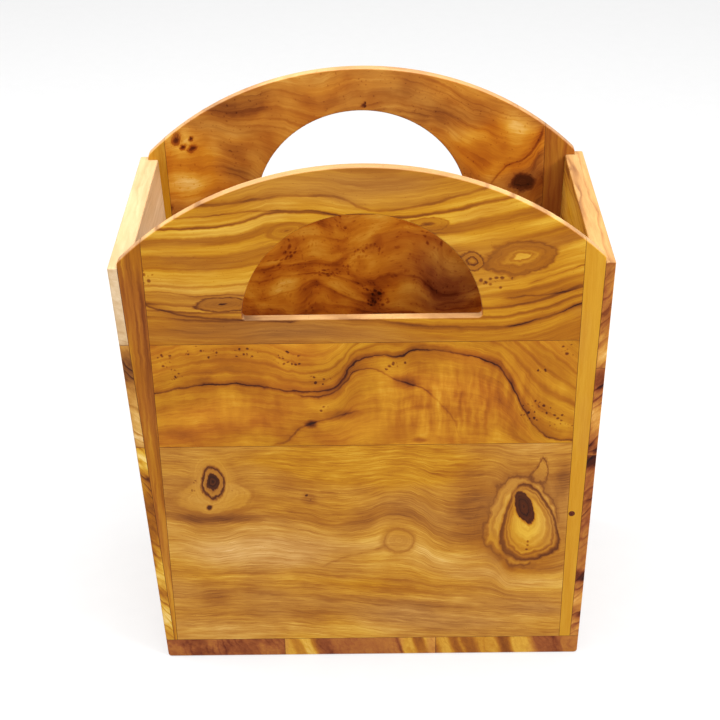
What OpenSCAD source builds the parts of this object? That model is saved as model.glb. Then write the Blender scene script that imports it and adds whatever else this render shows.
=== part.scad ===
// Magazine rack: an open-topped wooden box with an arched front and back,
// a half-round handle opening in each arch, and side walls that flare outwards,
// the left one more than the right. Every wall is glued up from boards.
// +X is to the right, -Y is the front and +Z is up. The origin is on the
// underside, midway between the two rims.

/* [Overall size] */
// Outer width across the rims of the two side walls
rim_w = 300; // [270:1:330]
// Outer width across the underside of the base
foot_w = 286; // [270:1:300]
// How far the base's middle lies to the right of the rims' middle
foot_shift = 3.5; // [0:0.5:6]
// Outer depth, front face to back face
rack_d = 158; // [120:1:200]
// Height of the flat rims of the side walls
rim_h = 310; // [290:1:320]
// Height of the top of the two arches
arch_h = 373; // [360:1:390]

/* [Board thickness] */
// Thickness of the side walls, measured along X
side_t = 12.5; // [11:0.5:16]
// Thickness of the front and back panels
panel_t = 6; // [5:0.5:9]
// Thickness of the base
base_t = 15.5; // [12:0.5:20]

/* [Arch and handle] */
// Radius of the arched top edge
arch_r = 204; // [195:1:230]
// Radius of the rounded shoulders where the arch meets the upright edges
shoulder_r = 5; // [2:0.5:8]
// Radius of the half-round handle opening
handle_r = 72.5; // [60:0.5:80]
// Height of the handle opening's flat lower edge
handle_h = 273.5; // [268:0.5:280]
// How far the middle of the handle's curve lies below its flat edge
handle_drop = 2.5; // [0:0.5:5]
// Radius of the two lower corners of the handle opening
handle_corner_r = 2.5; // [1:0.5:6]

/* [Corner joints] */
// Width of side wall wood left showing beside each panel
corner_strip = 6; // [4:0.5:8]

/* [Glue lines] */
// Height of the lower glue line of the panels and the left side wall
low_joint_h = 180; // [150:1:200]
// Height of the upper glue line of the front panel and the left side wall
high_joint_h = 256.5; // [240:0.5:265]
// Height of the upper glue line of the back panel
back_high_joint_h = 267; // [250:0.5:270]
// Height of the lower glue line of the right side wall
right_low_joint_h = 170; // [150:1:200]
// Height of the upper glue line of the right side wall
right_high_joint_h = 236; // [225:1:265]
// X of the base's left glue line
base_left_joint = -57.5; // [-80:0.5:-40]
// X of the base's right glue line
base_right_joint = 47.5; // [30:0.5:70]

/* [End stiles] */
// Front left stile: width at the rim
front_left_rim_w = 15; // [8:0.5:24]
// Front left stile: width at the base
front_left_foot_w = 2; // [1.5:0.5:12]
// Front right stile: width at the rim
front_right_rim_w = 12.5; // [8:0.5:24]
// Front right stile: width at the base
front_right_foot_w = 7.5; // [4:0.5:12]
// Back stile on the left: width at the rim
back_left_rim_w = 12; // [8:0.5:24]
// Back stile on the left: width at the base
back_left_foot_w = 5; // [1.5:0.5:12]
// Back stile on the right: width at the rim
back_right_rim_w = 20.5; // [8:0.5:24]
// Back stile on the right: width at the base
back_right_foot_w = 13.5; // [4:0.5:16]

/* [Edges, plug and dowels] */
// Radius along the lower ends of the base
base_edge_r = 2.5; // [1:0.5:4]
// Radius of the round plug in the front right stile
plug_r = 1.9; // [1.5:0.1:2.5]
// Length of the plug
plug_l = 4.5; // [3:0.5:5]
// Height of the plug
plug_h = 123; // [60:1:200]
// How far the plug's middle lies from the panel's upright edge
plug_inset = 6.6; // [5:0.1:7]
// Radius of the dowels between the base and the side walls
dowel_r = 3; // [2:0.5:3.5]
// Depth of a dowel in the base
dowel_in_base = 9; // [6:1:11]
// Depth of a dowel in a side wall
dowel_in_side = 15; // [10:1:25]
// Distance between neighbouring dowels
dowel_pitch = 50; // [30:1:60]
// Dowels in each side wall
dowel_count = 3; // [2:1:3]

/* [Hidden] */
$fn = 96;

// Middle of the arch's circle and of the handle's circle
arch_mid_h = arch_h - arch_r;
handle_mid_h = handle_h - handle_drop;
// Clearance around a dowel or plug, filled with glue
glue_gap = 0.05;
// Larger than the rack, for shapes that only cut
far = 2 * rim_w;
// The two side walls: every function and module below takes one of these as side
RIGHT = 1;
LEFT = -1;

// Colours
honey = [0.80, 0.55, 0.22];
golden = [0.85, 0.63, 0.24];
amber = [0.75, 0.47, 0.17];
russet = [0.55, 0.29, 0.13];
cream = [0.88, 0.72, 0.50];
umber = [0.30, 0.16, 0.08];

// Sideways lean of a side wall, per unit of height
function flare(side) = (rim_w / 2 - foot_w / 2 - side * foot_shift) / rim_h;
// Distance from the middle to a side wall's outer face at height h
function half_w(side, h) = foot_w / 2 + side * foot_shift + flare(side) * h;
// Distance from the middle to a panel's upright edge at height h
function panel_half_w(side, h) = half_w(side, h) - corner_strip;
// Distance from the middle to a stile's glue line at height h; stile is its two widths
function joint_x(side, stile, h) =
    let (
        top = panel_half_w(side, rim_h) - stile[0],
        bottom = panel_half_w(side, base_t) - stile[1]
    )
    bottom + (top - bottom) * (h - base_t) / (rim_h - base_t);
// Middle of a shoulder's rounding: shoulder_r inside both the arch and the upright edge
function shoulder_mid(side) =
    let (
        lean = flare(side),
        start = panel_half_w(side, 0) - shoulder_r * sqrt(1 + lean * lean),
        a = 1 + lean * lean,
        b = start * lean - arch_mid_h,
        c = start * start + arch_mid_h * arch_mid_h - pow(arch_r - shoulder_r, 2),
        h = (-b + sqrt(b * b - a * c)) / a
    )
    [start + lean * h, h];

// Puts a shape made for the right-hand side on either side
module on_side(side) {
    mirror([side == LEFT ? 1 : 0, 0, 0]) children();
}

// Panel outline with square shoulders
module square_outline() {
    intersection() {
        polygon([
            [-panel_half_w(LEFT, base_t), base_t],
            [panel_half_w(RIGHT, base_t), base_t],
            [panel_half_w(RIGHT, arch_h), arch_h],
            [-panel_half_w(LEFT, arch_h), arch_h]
        ]);
        union() {
            translate([0, arch_mid_h]) circle(r = arch_r, $fn = 240);
            translate([-far / 2, 0]) square([far, rim_h]);
        }
    }
}

// What rounding takes off a square corner: the region that the points enclose,
// which starts at the rounding's middle, without the disc of radius r about it
module corner_waste(points, r, fn) {
    difference() {
        polygon(points);
        translate(points[0]) circle(r = r, $fn = fn);
    }
}

// Panel outline, as seen from the front
module panel_outline() {
    reach = 3 * shoulder_r;
    difference() {
        square_outline();
        for (side = [LEFT, RIGHT])
            let (mid = shoulder_mid(side))
                on_side(side) corner_waste([
                    mid,
                    [mid.x + reach, mid.y - flare(side) * reach],
                    [mid.x + reach, mid.y + reach],
                    [mid.x + reach * mid.x / (mid.y - arch_mid_h), mid.y + reach]
                ], shoulder_r, 64);
    }
}

// Outline of the handle opening
module handle_outline() {
    round_h = handle_drop + handle_corner_r;
    round_x = sqrt(pow(handle_r - handle_corner_r, 2) - round_h * round_h);
    reach = 2 * handle_r;
    translate([0, handle_mid_h]) difference() {
        intersection() {
            circle(r = handle_r, $fn = 180);
            translate([-far / 2, handle_drop]) square([far, far]);
        }
        for (side = [LEFT, RIGHT])
            on_side(side) corner_waste([
                [round_x, round_h],
                [round_x, 0],
                [reach, 0],
                [reach, reach * round_h / round_x]
            ], handle_corner_r, 48);
    }
}

// The zone of a panel between its two stiles, from height low to height high
module field(left, right, low, high) {
    polygon([
        [-joint_x(LEFT, left, low), low],
        [joint_x(RIGHT, right, low), low],
        [joint_x(RIGHT, right, high), high],
        [-joint_x(LEFT, left, high), high]
    ]);
}

// Stands a flat outline up as a panel whose rear face is at y
module stand(y) {
    translate([0, y, 0]) rotate([90, 0, 0]) linear_extrude(panel_t) children();
}

// One board of a panel, without the handle opening
module panel_board(y, left, right, low, high) {
    stand(y) intersection() {
        panel_outline();
        field(left, right, low, high);
    }
}

// The arched top board of a panel from height low up, with the handle opening
module top_board(y, left, right, low) {
    stand(y) difference() {
        intersection() {
            panel_outline();
            field(left, right, low, arch_h);
        }
        handle_outline();
    }
}

// An end stile of a panel: the zone outside its glue line
module end_stile(y, side, stile) {
    stand(y) intersection() {
        panel_outline();
        on_side(side) polygon([
            [joint_x(side, stile, 0), 0],
            [far / 2, 0],
            [far / 2, arch_h],
            [joint_x(side, stile, arch_h), arch_h]
        ]);
    }
}

// Section through a side wall from height low to height high, in_t thick
module side_section(side, low, high, in_t) {
    polygon([
        [half_w(side, low) - in_t, low],
        [half_w(side, low), low],
        [half_w(side, high), high],
        [half_w(side, high) - in_t, high]
    ]);
}

// One board of a side wall, rebated at both ends for the panels
module side_board(side, low, high) {
    inner_d = rack_d - 2 * panel_t;
    on_side(side) {
        translate([0, inner_d / 2, 0]) rotate([90, 0, 0])
            linear_extrude(inner_d) side_section(side, low, high, side_t);
        translate([0, rack_d / 2, 0]) rotate([90, 0, 0])
            linear_extrude(rack_d) side_section(side, low, high, corner_strip);
    }
}

// A row of upright round bars of radius r, half in the base and half in a side wall
module dowel_row(side, r) {
    middle_x = half_w(side, base_t) - side_t / 2;
    on_side(side)
        for (i = [0 : dowel_count - 1])
            translate([middle_x, (i - (dowel_count - 1) / 2) * dowel_pitch, base_t - dowel_in_base])
                cylinder(r = r, h = dowel_in_base + dowel_in_side, $fn = 32);
}

// The lowest board of a side wall, drilled for its dowels
module drilled_side_board(side, high) {
    difference() {
        side_board(side, base_t, high);
        dowel_row(side, dowel_r + glue_gap);
    }
}

// Section through an end board of the base, with its lower end rounded
module base_end_section(side, inner) {
    lean = flare(side);
    round_x = half_w(side, base_edge_r) - base_edge_r * sqrt(1 + lean * lean);
    outer_x = half_w(side, base_edge_r);
    difference() {
        polygon([
            [inner, 0],
            [half_w(side, 0), 0],
            [half_w(side, base_t), base_t],
            [inner, base_t]
        ]);
        corner_waste([
            [round_x, base_edge_r],
            [round_x, 0],
            [outer_x, 0],
            [outer_x, base_edge_r - lean * (outer_x - round_x)]
        ], base_edge_r, 48);
    }
}

// An end board of the base, drilled for a side wall's dowels
module base_end_board(side, inner) {
    difference() {
        on_side(side) translate([0, rack_d / 2, 0]) rotate([90, 0, 0])
            linear_extrude(rack_d) base_end_section(side, inner);
        dowel_row(side, dowel_r + glue_gap);
    }
}

// The round plug of the front right stile, r in radius
module plug(r) {
    translate([panel_half_w(RIGHT, plug_h) - plug_inset, plug_l - rack_d / 2, plug_h])
        rotate([90, 0, 0]) cylinder(r = r, h = plug_l, $fn = 32);
}

// Y of each panel's rear face
front_y = panel_t - rack_d / 2;
back_y = rack_d / 2;
// Each stile's width at the rim and at the base
front_left = [front_left_rim_w, front_left_foot_w];
front_right = [front_right_rim_w, front_right_foot_w];
back_left = [back_left_rim_w, back_left_foot_w];
back_right = [back_right_rim_w, back_right_foot_w];

module base_left_board() {
    color(russet) base_end_board(LEFT, -base_left_joint);
}

module base_middle_board() {
    color(amber) translate([base_left_joint, -rack_d / 2, 0])
        cube([base_right_joint - base_left_joint, rack_d, base_t]);
}

module base_right_board() {
    color(russet) base_end_board(RIGHT, base_right_joint);
}

module front_top_board() {
    color(honey) top_board(front_y, front_left, front_right, high_joint_h);
}

module front_middle_board() {
    color(honey) panel_board(front_y, front_left, front_right, low_joint_h, high_joint_h);
}

module front_bottom_board() {
    color(amber) panel_board(front_y, front_left, front_right, base_t, low_joint_h);
}

module front_left_stile() {
    color(amber) end_stile(front_y, LEFT, front_left);
}

module front_right_stile() {
    color(golden) difference() {
        end_stile(front_y, RIGHT, front_right);
        plug(plug_r + glue_gap);
    }
}

module back_top_board() {
    color(russet) top_board(back_y, back_left, back_right, back_high_joint_h);
}

module back_middle_board() {
    color(russet) panel_board(back_y, back_left, back_right, low_joint_h, back_high_joint_h);
}

module back_bottom_board() {
    color(amber) panel_board(back_y, back_left, back_right, base_t, low_joint_h);
}

module back_left_stile() {
    color(honey) end_stile(back_y, LEFT, back_left);
}

module back_right_stile() {
    color(honey) end_stile(back_y, RIGHT, back_right);
}

module left_side_top_board() {
    color(cream) side_board(LEFT, high_joint_h, rim_h);
}

module left_side_middle_board() {
    color(russet) side_board(LEFT, low_joint_h, high_joint_h);
}

module left_side_bottom_board() {
    color(amber) drilled_side_board(LEFT, low_joint_h);
}

module right_side_top_board() {
    color(russet) side_board(RIGHT, right_high_joint_h, rim_h);
}

module right_side_middle_board() {
    color(amber) side_board(RIGHT, right_low_joint_h, right_high_joint_h);
}

module right_side_bottom_board() {
    color(russet) drilled_side_board(RIGHT, right_low_joint_h);
}

module stile_plug() {
    color(umber) plug(plug_r);
}

module left_base_dowels() {
    color(cream) dowel_row(LEFT, dowel_r);
}

module right_base_dowels() {
    color(cream) dowel_row(RIGHT, dowel_r);
}

base_left_board();
base_middle_board();
base_right_board();
front_top_board();
front_middle_board();
front_bottom_board();
front_left_stile();
front_right_stile();
back_top_board();
back_middle_board();
back_bottom_board();
back_left_stile();
back_right_stile();
left_side_top_board();
left_side_middle_board();
left_side_bottom_board();
right_side_top_board();
right_side_middle_board();
right_side_bottom_board();
stile_plug();
left_base_dowels();
right_base_dowels();
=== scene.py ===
"""Looks for an olive wood magazine rack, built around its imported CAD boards.

Every board keeps its CAD size and place. Its outer edges are eased as by a
sanding block, its glued edges keep a hairline, and it is dressed in oiled olive
wood whose grain, veins and knots follow that board. Patterns are laid out in
millimetres, and meshes are in metres.
"""

from __future__ import annotations

import logging
import math
from dataclasses import dataclass, field
from enum import Enum

import bmesh
import bpy
from mathutils import Matrix, Vector
from mathutils.bvhtree import BVHTree

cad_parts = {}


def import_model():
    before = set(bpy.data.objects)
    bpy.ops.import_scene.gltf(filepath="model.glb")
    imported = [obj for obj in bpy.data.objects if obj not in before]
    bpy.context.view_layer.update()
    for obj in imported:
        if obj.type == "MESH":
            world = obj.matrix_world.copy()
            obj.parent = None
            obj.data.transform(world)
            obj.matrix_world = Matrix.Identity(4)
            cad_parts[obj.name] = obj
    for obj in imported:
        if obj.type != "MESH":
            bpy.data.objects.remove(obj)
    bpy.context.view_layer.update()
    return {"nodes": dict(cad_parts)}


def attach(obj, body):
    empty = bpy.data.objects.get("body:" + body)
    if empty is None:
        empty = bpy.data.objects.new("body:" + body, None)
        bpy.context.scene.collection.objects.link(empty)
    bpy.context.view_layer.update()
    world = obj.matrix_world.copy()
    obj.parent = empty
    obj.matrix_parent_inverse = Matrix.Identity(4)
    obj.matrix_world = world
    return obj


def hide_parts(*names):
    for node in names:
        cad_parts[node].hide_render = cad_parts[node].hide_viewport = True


LOG = logging.getLogger("rack")
MM = 0.001
# The shine of a thin oil film, and how light bends in it
OIL_SHINE = 0.12
OIL_IOR = 1.45
# Strength and depth in metres of the pores' relief
PORE_STRENGTH = 0.25
PORE_DEPTH = 0.1 * MM
# Distance from a vein's middle that its ramp covers, and over which its ends fade
VEIN_REACH = 10.0
VEIN_TAPER = 6.0
# How dark a vein is beside its core, on its soft side and on its sharp side
SOFT_SIDE = 0.4
SHARP_SIDE = 0.25
# Edges sharper than this many degrees are eased, and flatter ones are melted away
SHARP = 40.0
FLAT = 0.2
# Corners closer than this are one corner
SAME_CORNER = 0.01 * MM

Point = tuple[float, float]
Socket = bpy.types.NodeSocket
Fill = float | tuple | Socket | None


def linear(code: str) -> tuple[float, float, float, float]:
    """Turns an sRGB hex colour into linear light.

    Args:
        code: six hex digits after a hash.

    Returns:
        Red, green, blue and a full alpha for a shader socket.
    """
    digits = code.lstrip("#")
    parts = [int(digits[i : i + 2], 16) / 255 for i in (0, 2, 4)]
    red, green, blue = (
        c / 12.92 if c <= 0.04045 else ((c + 0.055) / 1.055) ** 2.4 for c in parts
    )
    return red, green, blue, 1.0


class Graph:
    """One material while its nodes are being wired."""

    def __init__(self, name: str) -> None:
        """Starts an empty material.

        Args:
            name: the material's name.
        """
        self.material = bpy.data.materials.new(name)
        self.material.use_nodes = True
        self.tree = self.material.node_tree
        self.tree.nodes.clear()

    def add(
        self,
        kind: str,
        inputs: dict | tuple = (),
        out: int | str = 0,
        stops: tuple = (),
        points: tuple = (),
        **settings: object,
    ) -> Socket:
        """Adds a node with its settings and links.

        Args:
            kind: the node's type, without the ShaderNode that they all start with.
            inputs: what goes into each input, by place in a tuple or by key in a
                dict: another node's output, a plain value, or None to leave it.
            out: which output comes back.
            stops: for a ramp, each stop's place, then its colour or its grey value.
            points: for a curve, the points that it passes.
            **settings: the node's own properties.

        Returns:
            The output socket named by out, or the first input of a last node.
        """
        node = self.tree.nodes.new("ShaderNode" + kind)
        for key, value in settings.items():
            setattr(node, key, value)
        pairs = inputs.items() if isinstance(inputs, dict) else enumerate(inputs)
        for key, value in pairs:
            if isinstance(value, bpy.types.NodeSocket):
                self.tree.links.new(value, node.inputs[key])
            elif value is not None:
                node.inputs[key].default_value = value
        if stops:
            elements = node.color_ramp.elements
            while len(elements) < len(stops):
                elements.new(1.0)
            for element, (place, shade) in zip(elements, stops):
                element.position = place
                grey = isinstance(shade, (int, float))
                element.color = (shade, shade, shade, 1.0) if grey else shade
        if points:
            curve = node.mapping.curves[0]
            while len(curve.points) < len(points):
                curve.points.new(0.5, 0.5)
            for knot, place in zip(curve.points, points):
                knot.location = place
            node.mapping.update()
        return node.outputs[out] if len(node.outputs) else node.inputs[0]

    def stretched(
        self, place: Socket, scale: tuple, detail: float = 2.0, seed: float | None = None
    ) -> Socket:
        """Lays a noise that is drawn out along the grain.

        Args:
            place: the place, along, across and through the board.
            scale: how fast the noise changes each way.
            detail: how many finer layers it has.
            seed: which noise it is, or None for the one that all boards share.

        Returns:
            The noise, about 0.5 on average.
        """
        sized = self.add("VectorMath", (place, scale), operation="MULTIPLY")
        inputs = {"Vector": sized, "Scale": 1.0, "Detail": detail}
        if seed is None:
            return self.add("TexNoise", inputs)
        return self.add("TexNoise", {**inputs, "W": seed}, noise_dimensions="4D")


class Tint(Enum):
    """Runs of olive wood colour, from its darkest vein to its palest sapwood."""

    GOLD = ("#2C1005", "#532408", "#7C420A", "#9C5C0B", "#B87E16", "#D0A234", "#E4C474")
    TAN = ("#2A1208", "#522A12", "#764620", "#97622A", "#B27D3A", "#CA9B56", "#E2C08C")
    RED = ("#1E0804", "#481A0A", "#703216", "#904E24", "#AC6C2C", "#C4883A", "#DCAF66")
    AMBER = ("#2A0E05", "#5A220A", "#8A3F10", "#AE5E16", "#C47A1E", "#D69A34", "#E8C070")
    # Also the colour of the painted highlight on surfaces that face upwards
    CREAM = ("#3E2412", "#7A5030", "#A07A50", "#BC9A70", "#CDAF88", "#DCC3A0", "#EEDCC4")

    def stops(self) -> tuple:
        """Returns the ramp stops that spread the run over 0 to 1."""
        last = len(self.value) - 1
        return tuple((i / last, linear(code)) for i, code in enumerate(self.value))


class Lay(Enum):
    """How a board lies: the axes along its grain, across it and through it."""

    PANEL = ("X", "Z", "Y")
    STILE = ("Z", "X", "Y")
    SIDE = ("Y", "Z", "X")
    BASE = ("Y", "X", "Z")


@dataclass(frozen=True)
class Route:
    """A line across a board, given by a few points that it passes."""

    points: tuple[Point, ...]

    def height(self, g: Graph, along: Socket, ahead: float = 0.0) -> Socket:
        """Finds how high the route is.

        Args:
            g: the material being wired.
            along: the place along the board, in millimetres.
            ahead: how much further along to look, in millimetres.

        Returns:
            The route's height in millimetres.
        """
        start = self.points[0][0]
        span = self.points[-1][0] - start
        low = min(y for _, y in self.points)
        rise = max(1.0, max(y for _, y in self.points) - low)
        share = g.add(
            "Math",
            (along, 1 / span, (ahead - start) / span),
            operation="MULTIPLY_ADD",
            use_clamp=True,
        )
        points = tuple(((x - start) / span, (y - low) / rise) for x, y in self.points)
        line = g.add("FloatCurve", {"Value": share}, points=points)
        return g.add("Math", (line, rise, low), operation="MULTIPLY_ADD")


@dataclass(frozen=True)
class Spot:
    """An ellipse on a board: its middle and its half widths, in millimetres."""

    at: Point
    size: Point

    def local(self, g: Graph, place: Socket, turn: float = 0.0) -> Socket:
        """Measures a place from the middle, in half widths.

        Args:
            g: the material being wired.
            place: the place on the board, in millimetres.
            turn: how far the ellipse is turned, in degrees.

        Returns:
            The place in the ellipse's own measure.
        """
        return g.add(
            "Mapping",
            (place, (*self.at, 0), (0, 0, math.radians(turn)), (*self.size, 1)),
            vector_type="TEXTURE",
        )


@dataclass(frozen=True)
class Patch(Spot):
    """A broad soft place that is lighter or darker than the wood round it."""

    tone: float

    def cover(self, g: Graph, place: Socket) -> Socket:
        """Finds how fully the patch covers a place.

        Args:
            g: the material being wired.
            place: the place on the board, in millimetres.

        Returns:
            0 outside the patch, rising softly to 1 near its middle.
        """
        soft = g.add(
            "TexGradient", (self.local(g, place),), out=1, gradient_type="SPHERICAL"
        )
        return g.add(
            "MapRange", (soft, 0.12, 0.85, 0.0, 1.0), interpolation_type="SMOOTHSTEP"
        )

    def lay(self, g: Graph, place: Socket, tone: Socket) -> Socket:
        """Returns the tone with the patch added."""
        cover = self.cover(g, place)
        return g.add("Math", (cover, self.tone, tone), operation="MULTIPLY_ADD")


@dataclass(frozen=True)
class Vein:
    """A dark mineral vein that follows a route."""

    route: Route
    core: float = 0.6
    shade: float = 3.0
    depth: float = 0.4
    above: float = 1.0
    ends: Point | None = None
    steep: bool = False

    def lay(self, g: Graph, along: Socket, across: Socket, tone: Socket) -> Socket:
        """Darkens the wood along the vein.

        Args:
            g: the material being wired.
            along: the place along the board, in millimetres.
            across: the place across the board, in millimetres.
            tone: the wood's tone so far.

        Returns:
            The tone with the vein drawn in.
        """
        line = self.route.height(g, along)
        gap = g.add("Math", (across, line), operation="SUBTRACT")
        if self.steep:
            # The true distance to a slanting line is less than the upright one
            later = self.route.height(g, along, 2.0)
            rise = g.add("Math", (later, line), operation="SUBTRACT")
            slope = g.add("Math", (rise, 0.5), operation="MULTIPLY")
            square = g.add("Math", (slope, slope, 1.0), operation="MULTIPLY_ADD")
            length = g.add("Math", (square, 0.5), operation="POWER")
            gap = g.add("Math", (gap, length), operation="DIVIDE")
        reach = VEIN_REACH
        share = g.add("MapRange", (gap, -reach, reach, 0.0, 1.0))
        core = self.core / (2 * reach)
        upper = (self.shade if self.above > 0 else self.core * 2) / (2 * reach)
        lower = (self.core * 2 if self.above > 0 else self.shade) / (2 * reach)
        dark = g.add(
            "ValToRGB",
            (share,),
            stops=(
                (0.5 - core - lower, 0.0),
                (0.5 - core, self.depth * (SOFT_SIDE if self.above < 0 else SHARP_SIDE)),
                (0.5 - core * 0.4, self.depth),
                (0.5 + core * 0.4, self.depth),
                (0.5 + core, self.depth * (SOFT_SIDE if self.above > 0 else SHARP_SIDE)),
                (0.5 + core + upper, 0.0),
            ),
        )
        # The vein grows fainter and darker on its way, each core width in its own way
        pace = g.add("CombineXYZ", (along, self.core * 97, 0.0))
        noise = g.add("TexNoise", {"Vector": pace, "Scale": 0.05, "Detail": 2.0})
        fade = g.add("MapRange", (noise, 0.3, 0.6, 0.45, 1.1))
        dark = g.add("Math", (dark, fade), operation="MULTIPLY")
        if self.ends:
            left, right = self.ends
            start = g.add("MapRange", (along, left, left + VEIN_TAPER, 0.0, 1.0))
            stop = g.add("MapRange", (along, right - VEIN_TAPER, right, 1.0, 0.0))
            both = g.add("Math", (start, stop), operation="MULTIPLY")
            dark = g.add("Math", (dark, both), operation="MULTIPLY")
        return g.add("Math", (tone, dark), operation="SUBTRACT")


@dataclass(frozen=True)
class Knot(Spot):
    """A knot: rings round a middle, each with its own tone.

    The rings are stops of distance, tone and cover, where a distance of 1 is the
    ellipse of the knot's size and a cover of 0 lets the wood round it through.
    """

    rings: tuple[tuple[float, float, float], ...]
    turn: float = 0.0
    pear: float = 0.0
    ragged: float = 0.06

    def lay(self, g: Graph, place: Socket, tone: Socket) -> Socket:
        """Draws the knot over the wood.

        Args:
            g: the material being wired.
            place: the place on the board, in millimetres.
            tone: the wood's tone so far.

        Returns:
            The tone with the knot drawn in.
        """
        local = self.local(g, place, self.turn)
        if self.pear:
            # Narrower upwards and wider downwards
            height = g.add("SeparateXYZ", (local,), out="Y")
            pinch = g.add("Math", (height, self.pear, 1.0), operation="MULTIPLY_ADD")
            squeeze = g.add("CombineXYZ", (pinch, 1.0, 1.0))
            local = g.add("VectorMath", (local, squeeze), operation="MULTIPLY")
        far = g.add("VectorMath", (local,), out="Value", operation="LENGTH")
        for scale, reach in ((1.3, self.ragged * 1.8), (5.0, self.ragged * 0.4)):
            rough = g.add("TexNoise", {"Vector": local, "Scale": scale, "Detail": 4.0})
            wide = g.add("Math", (rough, reach * 2, -reach), operation="MULTIPLY_ADD")
            far = g.add("Math", (far, wide), operation="ADD")
        outer = self.rings[-1][0]
        share = g.add("Math", (far, outer), operation="DIVIDE")
        stops = tuple((r / outer, (t, t, t, cover)) for r, t, cover in self.rings)
        shade = g.add("ValToRGB", (share,), stops=stops)
        cover = shade.node.outputs["Alpha"]
        # Finer rings, which come and go round the knot
        slow = g.add("VectorMath", {0: local, "Scale": 0.7}, operation="SCALE")
        crowded = g.add("Math", (far, 9.0), operation="MULTIPLY")
        ringed = g.add("CombineXYZ", (crowded,))
        pace = g.add("VectorMath", (slow, ringed), operation="ADD")
        noise = g.add("TexNoise", {"Vector": pace, "Scale": 1.0, "Detail": 3.0})
        faint = g.add("Math", (noise, 0.34, -0.17), operation="MULTIPLY_ADD")
        drawn = g.add("Math", (shade, faint), operation="ADD")
        return g.add("Mix", (cover, None, tone, drawn), data_type="FLOAT")


@dataclass(frozen=True)
class Figure:
    """What one board's grain does.

    The grain runs between two guide lines, and all its streaks are spread between
    and beyond them. Bands are stops of place and tone from 0 at the lower guide
    to 1 at the upper one. Places are in millimetres from the rack's middle and
    from the floor.
    """

    lower: Route
    upper: Route
    height: float
    # Beyond the guides the grain runs along them, or settles at these two lines
    floor: Route | None = None
    crest: Route | None = None
    settled: float = 50.0
    tone: float = 0.6
    bands: tuple[Point, ...] = ()
    veins: tuple[Vein, ...] = ()
    patches: tuple[Patch, ...] = ()
    hues: tuple[Patch, ...] = ()
    knots: tuple[Knot, ...] = ()
    pins: tuple[Patch, ...] = ()
    curl: tuple[Patch, ...] = ()
    # Patches that show only where the grain is cut across
    ends: tuple[Patch, ...] = ()


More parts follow.
